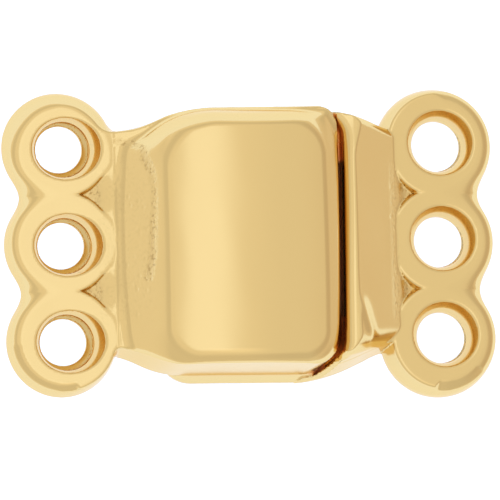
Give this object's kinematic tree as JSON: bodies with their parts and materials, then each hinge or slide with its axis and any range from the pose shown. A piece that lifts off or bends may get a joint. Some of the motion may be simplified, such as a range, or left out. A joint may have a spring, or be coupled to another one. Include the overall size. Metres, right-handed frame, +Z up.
{
  "type": "three-strand magnetic clasp",
  "caption": "Gold-coloured magnetic jewellery clasp, closed: a domed cover half sits on a base half, and each ends in a row of countersunk rings for the strands.",
  "frame": {"origin": "middle of the underside, on the surface that the base plate rests on", "axes": "+X along the strands towards the base half's rings, +Y across the clasp, +Z up, the way that the cover half lifts off"},
  "size_m": [0.0206, 0.0128, 0.0053],
  "materials": {
    "gold": "polished gold plating",
    "magnet": "satin nickel plating"
  },
  "bodies": {
    "base": {"base_half": "gold", "base_magnet": "magnet"},
    "cover": {"cover_half": "gold", "cover_magnet": "magnet"}
  },
  "joints": [
    {"name": "cover_lift", "type": "slide", "parent": "base", "child": "cover", "axis": [0, 0, 1], "range_m": [0, 0.006]}
  ]
}
